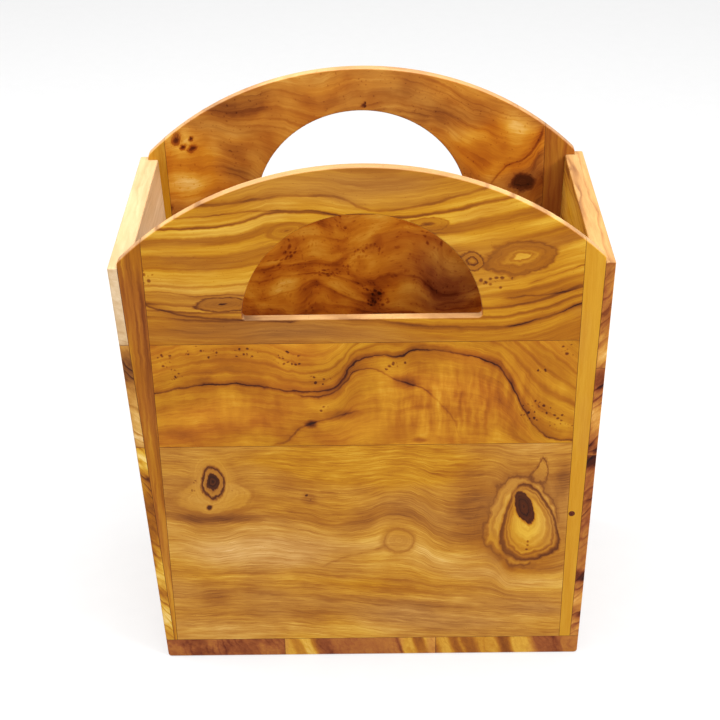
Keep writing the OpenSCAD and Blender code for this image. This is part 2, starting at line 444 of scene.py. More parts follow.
@dataclass(frozen=True)
class OliveWood:
    """Olive wood, planed, sanded fine and oiled.

    Oil gives the eye a soft satin sheen, with the figure showing deep and clear
    under it: honey to russet wood, near-black mineral veins and swirling knots.
    On surfaces that face upwards a pale highlight is painted into the colour.
    """

    name: str
    lay: Lay
    figure: Figure
    main: Tint = Tint.GOLD
    other: Tint = Tint.TAN
    hue: float = 0.4
    # Cut across the grain, oil soaks in and leaves the wood darker
    end: Tint = Tint.RED
    end_tone: float = -0.08
    # How far the grain wanders, in millimetres, and over what distance
    wander: float = 4.0
    wander_span: float = 45.0
    # How far the veins are jagged, in millimetres
    jag: float = 0.9
    # How strongly blotches, bands, streaks, fibres and ring lines show
    blotch: float = 0.0
    band: float = 0.3
    streak: float = 0.3
    fibre: float = 0.12
    rings: float = 0.12
    ring_gap: float = 5.0
    # How far the rings step across the board for each millimetre through it
    tilt: float = 0.0
    seed: float = 0.0
    roughness: float = 0.4
    pin_gap: float = 3.2
    pin_depth: float = 0.36
    pin_soft: float = 0.12
    # How strongly a painted highlight, for the light from above, makes surfaces that face upwards
    # paler, and how light its cream colour is
    painted_sheen: float = 0.64
    sheen_lift: float = 0.16

    def dress(self) -> bpy.types.Material:
        """Wires the wood.

        Returns:
            The finished material.
        """
        g = Graph(self.name)
        spot = g.add("TexCoord", out="Object")
        mm = g.add("VectorMath", {0: spot, "Scale": 1 / MM}, operation="SCALE")
        along, across, through = self.axes(g, mm)
        grain = g.add("CombineXYZ", (along, across, through))
        place, along, across = self.wandering(g, grain)
        flow = self.flow(g, along, across, through)
        tone = self.grown(g, flow)
        tone = self.figured(g, place, along, across, tone)
        cut = self.cut_across(g)
        tone = g.add("Math", (cut, self.end_tone, tone), operation="MULTIPLY_ADD")
        for patch in self.figure.ends:
            cover = g.add("Math", (patch.cover(g, place), cut), operation="MULTIPLY")
            tone = g.add("Math", (cover, patch.tone, tone), operation="MULTIPLY_ADD")
        colour = self.coloured(g, place, flow, tone, cut)
        return self.oiled(g, flow, tone, colour)

    def axes(self, g: Graph, mm: Socket) -> tuple[Socket, Socket, Socket]:
        """Splits a place into its parts along, across and through the board.

        Args:
            g: the material being wired.
            mm: the place in millimetres.

        Returns:
            The three parts, in millimetres.
        """
        parts = g.add("SeparateXYZ", (mm,)).node.outputs
        along, across, through = (parts[axis] for axis in self.lay.value)
        return along, across, through

    def cut_across(self, g: Graph) -> Socket:
        """Finds where the surface is cut across the grain.

        Args:
            g: the material being wired.

        Returns:
            0 on the long faces and 1 on the end grain.
        """
        normal = g.add("NewGeometry", out="Normal")
        facing = g.add("SeparateXYZ", (normal,)).node.outputs[self.lay.value[0]]
        size = g.add("Math", (facing,), operation="ABSOLUTE")
        return g.add("MapRange", (size, 0.6, 0.85, 0.0, 1.0))

    def wandering(self, g: Graph, grain: Socket) -> tuple[Socket, Socket, Socket]:
        """Lets the grain wander, broadly and in small ragged steps.

        Args:
            g: the material being wired.
            grain: the place along, across and through the board.

        Returns:
            The wandered place on the board's face, and its two parts.
        """
        moved = grain
        for span, reach in (
            (self.wander_span, self.wander), (7.0, self.jag), (2.0, self.jag * 0.35)
        ):
            sized = g.add(
                "VectorMath", {0: grain, "Scale": 1 / span}, operation="SCALE"
            )
            noise = g.add(
                "TexNoise",
                {"Vector": sized, "W": self.seed, "Scale": 1.0, "Detail": 1.0},
                out="Color",
                noise_dimensions="4D",
            )
            middle = g.add("VectorMath", (noise, (0.5, 0.5, 0.5)), operation="SUBTRACT")
            amount = (reach * 1.6, reach * 2, reach)
            moved = g.add(
                "VectorMath", (middle, amount, moved), operation="MULTIPLY_ADD"
            )
        parts = g.add("SeparateXYZ", (moved,)).node.outputs
        place = g.add("CombineXYZ", (parts[0], parts[1], 0.0))
        return place, parts[0], parts[1]

    def flow(self, g: Graph, along: Socket, across: Socket, through: Socket) -> Socket:
        """Finds the place measured along and across the flowing grain.

        Args:
            g: the material being wired.
            along: the place along the board.
            across: the place across the board.
            through: the place through the board.

        Returns:
            The place in the grain's own directions, in millimetres.
        """
        low = self.figure.lower.height(g, along)
        high = self.figure.upper.height(g, along)
        height = self.figure.height
        level = g.add("MapRange", (across, low, high, 0.0, height))
        settled = self.figure.settled
        if self.figure.floor:
            bottom = self.figure.floor.height(g, along)
            below = g.add("MapRange", (across, bottom, low, -settled, 0.0))
        else:
            below = g.add("Math", (across, low), operation="SUBTRACT")
            below = g.add("Math", (below, 0.0), operation="MINIMUM")
        if self.figure.crest:
            top = self.figure.crest.height(g, along)
            above = g.add("MapRange", (across, high, top, 0.0, settled))
        else:
            above = g.add("Math", (across, high), operation="SUBTRACT")
            above = g.add("Math", (above, 0.0), operation="MAXIMUM")
        for more in (below, above):
            level = g.add("Math", (level, more), operation="ADD")
        if self.tilt:
            level = g.add(
                "Math", (through, self.tilt, level), operation="MULTIPLY_ADD"
            )
        return g.add("CombineXYZ", (along, level, through))

    def grown(self, g: Graph, flow: Socket) -> Socket:
        """Adds what every board has: bands, streaks, ring lines and fibres.

        Args:
            g: the material being wired.
            flow: the place in the grain's own directions.

        Returns:
            The wood's tone.
        """
        level = g.add("SeparateXYZ", (flow,), out="Y")
        tone: Fill = self.figure.tone
        if self.figure.bands:
            # The bands' stops reach from half a height below to half a height above
            share = g.add(
                "Math", (level, 0.5 / self.figure.height, 0.25), operation="MULTIPLY_ADD"
            )
            stops = tuple((0.25 + 0.5 * p, t) for p, t in self.figure.bands)
            drawn = g.add("ValToRGB", (share,), stops=stops)
            noise = g.stretched(flow, (0.02, 0.05, 0.05))
            shown = g.add("MapRange", (noise, 0.3, 0.6, 0.4, 1.1))
            tone = g.add("Mix", (shown, None, tone, drawn), data_type="FLOAT")
        # Each layer is a noise stretched along the grain: its length and its width
        layers = (
            (22.0, 15.0, 3.0, self.blotch),
            (110.0, 11.0, 2.0, self.band),
            (55.0, 2.6, 4.0, self.streak),
            (14.0, 0.55, 2.0, self.fibre),
        )
        for number, (length, width, detail, amount) in enumerate(layers):
            if not amount:
                continue
            scale = (1 / length, 1 / width, 1 / width)
            noise = g.stretched(flow, scale, detail, self.seed + number)
            half = g.add("Math", (noise, 0.5), operation="SUBTRACT")
            tone = g.add("Math", (half, amount * 1.6, tone), operation="MULTIPLY_ADD")
        return self.ringed(g, flow, level, tone)

    def ringed(self, g: Graph, flow: Socket, level: Socket, tone: Socket) -> Socket:
        """Adds growth ring lines that come and go.

        Args:
            g: the material being wired.
            flow: the place in the grain's own directions.
            level: its part across the grain.
            tone: the wood's tone so far.

        Returns:
            The tone with the ring lines.
        """
        noise = g.stretched(flow, (0.012, 0.05, 0.05), seed=self.seed + 7.0)
        crowd = g.add("Math", (noise, 4.0), operation="MULTIPLY")
        count = g.add(
            "Math", (level, 1 / self.ring_gap, crowd), operation="MULTIPLY_ADD"
        )
        share = g.add("Math", (count,), operation="FRACT")
        line = g.add(
            "ValToRGB",
            (share,),
            stops=((0.0, 0.1), (0.55, 0.25), (0.86, 1.0), (0.93, 0.4), (1.0, 0.1)),
        )
        present = g.add("MapRange", (noise, 0.42, 0.62, 0.15, 1.0))
        seen = g.add("Math", (line, present), operation="MULTIPLY")
        return g.add("Math", (seen, -self.rings, tone), operation="MULTIPLY_ADD")

    def figured(
        self, g: Graph, place: Socket, along: Socket, across: Socket, tone: Socket
    ) -> Socket:
        """Adds the board's own patches, curl, veins, knots and pin knots.

        Args:
            g: the material being wired.
            place: the wandered place on the board's face.
            along: its part along the board.
            across: its part across the board.
            tone: the wood's tone so far.

        Returns:
            The tone with the board's own figure.
        """
        for patch in self.figure.patches:
            tone = patch.lay(g, place, tone)
        tone = self.curled(g, place, tone)
        for vein in self.figure.veins:
            tone = vein.lay(g, along, across, tone)
        for knot in self.figure.knots:
            tone = knot.lay(g, place, tone)
        return self.pinned(g, place, tone)

    def curled(self, g: Graph, place: Socket, tone: Socket) -> Socket:
        """Adds curl, soft ripples that cross the grain.

        Args:
            g: the material being wired.
            place: the wandered place on the board's face.
            tone: the wood's tone so far.

        Returns:
            The tone with the curl.
        """
        for patch in self.figure.curl:
            noise = g.stretched(place, (0.2, 0.035, 0))
            half = g.add("Math", (noise, 0.5), operation="SUBTRACT")
            cover = patch.cover(g, place)
            ripple = g.add("Math", (half, cover), operation="MULTIPLY")
            tone = g.add(
                "Math", (ripple, patch.tone, tone), operation="MULTIPLY_ADD"
            )
        return tone

    def pinned(self, g: Graph, place: Socket, tone: Socket) -> Socket:
        """Adds pin knots, small dark eyes that crowd together.

        Args:
            g: the material being wired.
            place: the wandered place on the board's face.
            tone: the wood's tone so far.

        Returns:
            The tone with the pin knots.
        """
        if not self.figure.pins:
            return tone
        cover: Fill = 0.0
        for patch in self.figure.pins:
            cover = patch.lay(g, place, cover)
        cells = g.add(
            "TexVoronoi", {"Vector": place, "Scale": 1 / self.pin_gap, "Randomness": 1.0}
        )
        chance = g.add("SeparateColor", (cells.node.outputs["Color"],))
        crowd = g.add("Math", (cover, 3.0), operation="MULTIPLY", use_clamp=True)
        size = g.add("Math", (chance, crowd), operation="MULTIPLY")
        wide = g.add("MapRange", (size, 0.25, 0.9, 0.0, 0.42))
        gap = g.add("Math", (wide, cells), operation="SUBTRACT")
        dark = g.add("MapRange", (gap, -self.pin_soft, 0.12, 0.0, self.pin_depth))
        return g.add("Math", (tone, dark), operation="SUBTRACT")

    def coloured(
        self, g: Graph, place: Socket, flow: Socket, tone: Socket, cut: Socket
    ) -> Socket:
        """Turns tone into colour, between two runs of olive wood colour, with a painted highlight
        on surfaces that face upwards.

        Args:
            g: the material being wired.
            place: the wandered place on the board's face.
            flow: the place in the grain's own directions.
            tone: the wood's tone.
            cut: how far the surface is end grain.

        Returns:
            The wood's colour, with the painted highlight.
        """
        noise = g.stretched(flow, (0.012, 0.04, 0.04), seed=self.seed + 20.0)
        spread = g.add(
            "Math", (noise, 1.6, self.hue - 0.8), operation="MULTIPLY_ADD"
        )
        for patch in self.figure.hues:
            spread = patch.lay(g, place, spread)
        share = g.add("Clamp", (spread,))
        main = g.add("ValToRGB", (tone,), stops=self.main.stops())
        other = g.add("ValToRGB", (tone,), stops=self.other.stops())
        face = g.add("Mix", {0: share, 6: main, 7: other}, out=2, data_type="RGBA")
        end = g.add("ValToRGB", (tone,), stops=self.end.stops())
        dulled = g.add("Math", (share, -0.7, 1.0), operation="MULTIPLY_ADD")
        amount = g.add("Math", (cut, dulled), operation="MULTIPLY")
        wood = g.add("Mix", {0: amount, 6: face, 7: end}, out=2, data_type="RGBA")
        # Painted highlight: surfaces that face upwards are mixed towards pale cream, standing in
        # for the sheen of the light from above
        normal = g.add("NewGeometry", out="Normal")
        upward = g.add("SeparateXYZ", (normal,), out="Z")
        sheen_cover = g.add("MapRange", (upward, 0.2, 0.75, 0.0, self.painted_sheen))
        sheen_tone = g.add("Math", (tone, 0.5, self.sheen_lift), operation="MULTIPLY_ADD")
        sheen_colour = g.add("ValToRGB", (sheen_tone,), stops=Tint.CREAM.stops())
        return g.add("Mix", {0: sheen_cover, 6: wood, 7: sheen_colour}, out=2, data_type="RGBA")

    def oiled(
        self, g: Graph, flow: Socket, tone: Socket, colour: Socket
    ) -> bpy.types.Material:
        """Gives the wood its oiled surface.

        Args:
            g: the material being wired.
            flow: the place in the grain's own directions.
            tone: the wood's tone, whose dark veins lie a little lower.
            colour: the wood's colour.

        Returns:
            The finished material.
        """
        pores = g.stretched(flow, (0.1, 1.6, 1.6), detail=3.0)
        sheen = g.add(
            "MapRange", (pores, 0.3, 0.7, self.roughness - 0.06, self.roughness + 0.08)
        )
        height = g.add("Math", (tone, 0.5, pores), operation="MULTIPLY_ADD")
        bump = g.add(
            "Bump", {"Strength": PORE_STRENGTH, "Distance": PORE_DEPTH, "Height": height}
        )
        shader = g.add(
            "BsdfPrincipled",
            {
                "Base Color": colour,
                "Roughness": sheen,
                "Normal": bump,
                "IOR": OIL_IOR,
                "Specular IOR Level": OIL_SHINE,
            },
        )
        g.add("OutputMaterial", (shader,))
        return g.material


class Shade(Enum):
    """Colours of what isn't olive wood."""

    GLUE = "#3A1E0E"
    PLUG_DARK = "#2E0E06"
    PLUG_LIGHT = "#6A2C14"
    BEECH_DARK = "#B98D62"
    BEECH_LIGHT = "#D9B68C"
    FLOOR_LOW = "#8C8C8C"
    FLOOR_HIGH = "#8E8E8E"


@dataclass(frozen=True)
class PlainWood:
    """A plain fine-grained wood, turned round and sanded, such as a dowel's.

    It gives the eye short fine streaks along the rod and little shine.
    """

    name: str
    dark: Shade
    light: Shade
    stretch: tuple[float, float, float]
    roughness: float = 0.55

    def dress(self) -> bpy.types.Material:
        """Returns the finished material."""
        g = Graph(self.name)
        spot = g.add("TexCoord", out="Object")
        noise = g.stretched(spot, self.stretch, detail=4.0)
        stops = ((0.3, linear(self.dark.value)), (0.7, linear(self.light.value)))
        colour = g.add("ValToRGB", (noise,), stops=stops)
        bump = g.add("Bump", {"Strength": 0.3, "Distance": PORE_DEPTH, "Height": noise})
        shader = g.add(
            "BsdfPrincipled",
            {
                "Base Color": colour,
                "Roughness": self.roughness,
                "Normal": bump,
                "Specular IOR Level": OIL_SHINE,
            },
        )
        g.add("OutputMaterial", (shader,))
        return g.material


@dataclass
class Shop:
    """The CAD boards as they stand, and where they cover each other."""

    nodes: dict[str, bpy.types.Object]
    trees: dict[str, BVHTree] = field(default_factory=dict)
    # How far off another board's surface is looked for
    reach: float = 2 * MM

    def measure(self) -> None:
        """Makes a search tree of each board."""
        for name, node in self.nodes.items():
            corners = [v.co.copy() for v in node.data.vertices]
            faces = [tuple(p.vertices) for p in node.data.polygons]
            self.trees[name] = BVHTree.FromPolygons(corners, faces)

    def covered(self, spot: Vector, own: str) -> bool:
        """Tells whether a spot just off a board lies inside another board.

        Args:
            spot: the place to look at.
            own: the board that the spot belongs to.

        Returns:
            True where another board is.
        """
        for name, tree in self.trees.items():
            near, normal, _, _ = tree.find_nearest(spot, self.reach)
            if name != own and near is not None and (spot - near).dot(normal) < 0:
                return True
        return False


@dataclass
class Board:
    """One board of the rack: its CAD node, its wood and its edges."""

    node: str
    slot: str
    wood: OliveWood | PlainWood
    # Widths of an eased edge and of the hairline at a glued one, in millimetres
    arris: float = 0.9
    hairline: float = 0.14
    piece: bpy.types.Object | None = None

    def build(self, shop: Shop) -> None:
        """Makes the board from its CAD node and eases its edges.

        Args:
            shop: the CAD boards.
        """
        bpy.ops.object.select_all(action="DESELECT")
        mesh = shop.nodes[self.node].data.copy()
        self.piece = bpy.data.objects.new(f"oiled_{self.node}", mesh)
        bpy.context.scene.collection.objects.link(self.piece)
        bpy.context.view_layer.objects.active = self.piece
        self.piece.select_set(True)
        mesh.materials.clear()
        bpy.ops.mesh.customdata_custom_splitnormals_clear()
        bpy.ops.object.mode_set(mode="EDIT")
        bpy.ops.mesh.select_mode(type="EDGE")
        bpy.ops.mesh.select_all(action="SELECT")
        bpy.ops.mesh.remove_doubles(threshold=SAME_CORNER)
        bpy.ops.mesh.dissolve_limited(angle_limit=math.radians(FLAT))
        mesh.materials.append(None)
        mesh.materials.append(None)
        if self.select_edges(shop, glued=False):
            bpy.ops.mesh.bevel(
                offset=self.arris * MM, segments=3, affect="EDGES", profile=0.5
            )
        if self.select_edges(shop, glued=True):
            bpy.ops.mesh.bevel(
                offset=self.hairline * MM, segments=1, affect="EDGES", material=1
            )
        bpy.ops.object.mode_set(mode="OBJECT")
        bpy.ops.object.shade_smooth_by_angle(angle=math.radians(SHARP))
        shading = self.piece.modifiers.new("Even shading", "WEIGHTED_NORMAL")
        shading.keep_sharp = True
        bpy.ops.object.modifier_apply(modifier=shading.name)
        self.stay_inside(shop.nodes[self.node])

    def stay_inside(self, node: bpy.types.Object) -> None:
        """Holds the eased edges inside the box of the CAD board.

        Args:
            node: the CAD board.
        """
        for axis in range(3):
            reach = [corner.co[axis] for corner in node.data.vertices]
            low, high = min(reach), max(reach)
            for corner in self.piece.data.vertices:
                corner.co[axis] = min(max(corner.co[axis], low), high)

    def select_edges(self, shop: Shop, glued: bool) -> int:
        """Selects the sharp edges that lie open, or those along a glue line.

        Args:
            shop: the CAD boards.
            glued: whether to take the edges along a glue line.

        Returns:
            How many edges were selected.
        """
        inward, outward = 0.25 * MM, 0.2 * MM
        bpy.ops.mesh.select_all(action="DESELECT")
        shape = bmesh.from_edit_mesh(self.piece.data)
        shape.normal_update()
        chosen = 0
        for edge in shape.edges:
            if len(edge.link_faces) != 2 or edge.calc_face_angle() < math.radians(SHARP):
                continue
            middle = (edge.verts[0].co + edge.verts[1].co) / 2
            hidden = 0
            for loop in edge.link_loops:
                way = (loop.link_loop_next.vert.co - loop.vert.co).normalized()
                normal = loop.face.normal
                spot = middle + normal.cross(way) * inward + normal * outward
                hidden += shop.covered(spot, self.node)
            if hidden == (1 if glued else 0):
                edge.select_set(True)
                chosen += 1
        bmesh.update_edit_mesh(self.piece.data)
        return chosen

    def dress(self, glue: bpy.types.Material) -> None:
        """Dresses the board and puts it in its CAD node's place.

        Args:
            glue: the material of its glue lines.
        """
        self.piece.data.materials[0] = self.wood.dress()
        self.piece.data.materials[1] = glue
        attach(self.piece, "root")
        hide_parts(self.node)
        LOG.info("%s: %d faces", self.piece.name, len(self.piece.data.polygons))


@dataclass
class Assembly:
    """A glued-up part of the rack: its boards, planned and then built in order."""

    boards: list[Board] = field(default_factory=list)

    def plan(self) -> None:
        """Lists nothing here: each part overrides this with its own boards."""

    def build(self, shop: Shop, glue: bpy.types.Material) -> None:
        """Plans the boards, makes them and dresses them.

        Args:
            shop: the CAD boards.
            glue: the material of the glue lines.
        """
        self.plan()
        for board in self.boards:
            board.build(shop)
            board.dress(glue)


def level(height: float) -> Route:
    """Returns a straight route at one height across a board."""
    return Route(((-200.0, height), (200.0, height)))


def straight(low: float, high: float, **more: object) -> Figure:
    """Describes a board whose grain runs straight.

    Args:
        low: where its first guide line lies, in millimetres across the board.
        high: where its second guide line lies.
        **more: the rest of the figure.

    Returns:
        The figure.
    """
    return Figure(lower=level(low), upper=level(high), height=high - low, **more)


@dataclass
class FrontPanel(Assembly):
    """The front panel: three boards and two end stiles."""

    def top_figure(self) -> Figure:
        """Describes the arched board: long dark veins, and eyes on the right.

        Returns:
            The figure.
        """
        upper = Route(((-150, 333), (-120, 334.5), (-80, 337), (-62, 341.5), (-47, 345.5),
            (-25, 345), (-5, 341.5), (12, 341), (50, 345), (72, 350), (130, 363)))
        lower = Route(((-150, 278), (-130, 277), (-80, 273), (-50, 276), (0, 273), (70, 266.5),
            (95, 269), (131, 281), (150, 286)))
        crown = Route(((-110, 350), (-80, 350.5), (-60, 353), (-40, 355.5), (-20, 355.5),
            (0, 348.5), (12, 346), (28, 347.5), (60, 355), (80, 362)))
        thin = Route(((-115, 341), (-80, 344), (-50, 346), (-30, 346), (0, 341.3), (20, 342)))
        return Figure(
            lower=lower,
            upper=upper,
            height=70.0,
            bands=((-0.5, 0.5), (-0.03, 0.5), (0.0, 0.3), (0.015, 0.54), (0.06, 0.66),
                (0.085, 0.36), (0.1, 0.68), (0.14, 0.68), (0.16, 0.24), (0.175, 0.5), (0.22, 0.66),
                (0.26, 0.5), (0.29, 0.7), (0.35, 0.74), (0.37, 0.56), (0.39, 0.72), (0.53, 0.74),
                (0.56, 0.5), (0.69, 0.48), (0.73, 0.74), (0.79, 0.72), (0.82, 0.46), (0.88, 0.52),
                (0.91, 0.78), (0.975, 0.76), (0.992, 0.3), (1.005, 0.46), (1.02, 0.74), (1.12, 0.7),
                (1.2, 0.6), (1.5, 0.62)),
            veins=(
                Vein(crown, core=1.1, shade=4.0, depth=0.26, above=1.0),
                Vein(thin, core=0.5, shade=1.6, depth=0.26, ends=(-118, 22)),
                Vein(Route(((-131, 286), (-116, 280), (-98, 275.5), (-72, 273.5), (-40, 272))),
                    core=0.9, shade=3.0, depth=0.3, ends=(-140, -36)),
                Vein(Route(((-131, 294), (-112, 293), (-96, 290), (-78, 290.5), (-66, 286))),
                    core=0.5, shade=1.8, depth=0.24, ends=(-140, -60)),
                Vein(Route(((86, 267), (100, 270), (118, 276), (134, 283))), core=0.6, shade=2.0,
                    depth=0.3, ends=(86, 140)),
                Vein(Route(((82, 286), (97, 288), (112, 289), (134, 294))), core=0.7, shade=3.0,
                    depth=0.3, ends=(82, 140)),
                Vein(Route(((98, 296), (112, 301), (134, 310))), core=0.6, shade=2.0, depth=0.26,
                    ends=(98, 140)),
            ),
            patches=(
                Patch((108, 292), (40, 30), -0.08), Patch((104, 318), (44, 20), -0.05),
                Patch((20, 372), (80, 30), -0.06), Patch((-100, 268), (60, 12), -0.04),
            ),
            hues=(
                Patch((-60, 264), (130, 16), 0.45), Patch((0, 362), (120, 22), 0.4),
                Patch((100, 262), (60, 30), -0.5),
            ),
            knots=(
                Knot((94, 314), (22, 11), ((0.0, 0.78, 0.9), (0.16, 0.74, 0.9), (0.24, 0.5, 0.9),
                    (0.36, 0.6, 0.9), (0.6, 0.44, 0.9), (0.8, 0.46, 0.9), (0.97, 0.3, 0.8),
                    (1.12, 0.6, 0.3), (1.4, 0.6, 0)), turn=6, ragged=0.2),
                Knot((65, 312), (7, 6), ((0.0, 0.6, 1), (0.3, 0.45, 1), (0.42, 0.14, 1),
                    (0.56, 0.5, 1), (0.85, 0.5, 0.9), (1.0, 0.2, 0.9), (1.2, 0.5, 0)), turn=-30,
                    ragged=0.16),
                Knot((38, 336), (13, 4.5), ((0.0, 0.2, 0.9), (0.2, 0.3, 0.9), (0.4, 0.52, 0.8),
                    (0.85, 0.5, 0.7), (1.0, 0.34, 0.6), (1.15, 0.6, 0)), turn=4, ragged=0.2),
                Knot((-83, 284), (17, 5), ((0.0, 0.06, 1), (0.1, 0.1, 1), (0.18, 0.42, 0.9),
                    (0.8, 0.46, 0.8), (0.97, 0.16, 0.9), (1.1, 0.5, 0)), ragged=0.16),
                Knot((-43, 333), (12, 5), ((0.0, 0.35, 1), (0.2, 0.5, 1), (0.6, 0.58, 0.8),
                    (1.0, 0.4, 0.6), (1.2, 0.6, 0)), turn=12),
            ),
            pins=(Patch((78, 296), (24, 10), 0.9), Patch((-127, 304), (8, 8), 0.9)),
        )

    def middle_figure(self) -> Figure:
        """Describes the middle board: one bold wavy vein and its branch.

        Returns:
            The figure.
        """
        bold = Route(((-150, 213), (-131, 220.5), (-110, 225.5), (-90, 227.5), (-62, 226),
            (-48, 222), (-28, 221), (-19, 223.5), (-12, 231), (-6, 241), (0, 245), (14, 247.5),
            (21, 246.5), (33, 251), (60, 247.5), (80, 239.5), (88, 230), (102, 203), (112, 188.5),
            (122, 183), (140, 183)))
        upper = Route(((-150, 240), (-120, 252), (-95, 258), (-65, 258), (-45, 249), (-30, 246),
            (-15, 254), (0, 268), (30, 276), (60, 274), (85, 268), (110, 250), (140, 222)))
        branch = Route(((-42, 219), (-30, 217), (-20, 219.5), (-10, 229), (-4, 236.5), (6, 238),
            (15, 233.5), (22, 229), (36, 223), (46, 213), (56, 200), (60, 186)))
        spur = Route(((-58, 181), (-50, 184), (-40, 194), (-30, 198.5), (-5, 206)))
        return Figure(
            lower=bold,
            upper=upper,
            height=30.0,
            floor=level(168.0),
            tone=0.565,
            bands=((-0.5, 0.6), (-0.1, 0.58), (0.0, 0.52), (0.12, 0.5), (0.22, 0.6), (0.3, 0.5),
                (0.36, 0.59), (0.5, 0.62), (0.56, 0.48), (0.62, 0.58), (0.75, 0.63), (0.8, 0.52),
                (0.86, 0.6), (1.0, 0.58), (1.06, 0.5), (1.12, 0.6), (1.5, 0.6)),
            veins=(
                Vein(bold, core=0.7, shade=2.6, depth=0.4, above=1.0, steep=True),
                Vein(branch, core=0.75, shade=3.5, depth=0.3, above=1.0, ends=(-44, 62),
                    steep=True),
                Vein(spur, core=0.9, shade=3.0, depth=0.26, above=1.0, ends=(-60, -2), steep=True),
            ),
            patches=(
                Patch((26, 228), (16, 9), -0.2), Patch((-14, 204), (18, 7), -0.14),
                Patch((-33, 197), (6, 5), -0.35), Patch((36, 184), (8, 4), -0.25),
                Patch((74, 214), (54, 36), -0.05), Patch((-100, 190), (50, 10), -0.08),
                Patch((-96, 242), (60, 12), -0.06),
            ),
            hues=(
                Patch((-90, 205), (70, 40), 0.35), Patch((60, 212), (90, 50), 0.3),
            ),
            pins=(
                Patch((-98, 251), (16, 8), 1.0), Patch((-115, 235), (10, 7), 0.9),
                Patch((-45, 246), (16, 9), 0.9), Patch((-26, 230), (12, 6), 1.1),
                Patch((108, 205), (16, 14), 0.9), Patch((124, 196), (14, 10), 0.9),
                Patch((125, 248), (8, 10), 1.0), Patch((112, 234), (8, 8), 0.9),
                Patch((-25, 209), (5, 5), 0.9), Patch((-122, 246), (10, 8), 0.9),
                Patch((-70, 250), (16, 6), 0.7), Patch((20, 240), (14, 6), 0.7),
            ),
            curl=(Patch((-70, 208), (60, 34), 0.2), Patch((60, 212), (85, 50), 0.7)),
        )

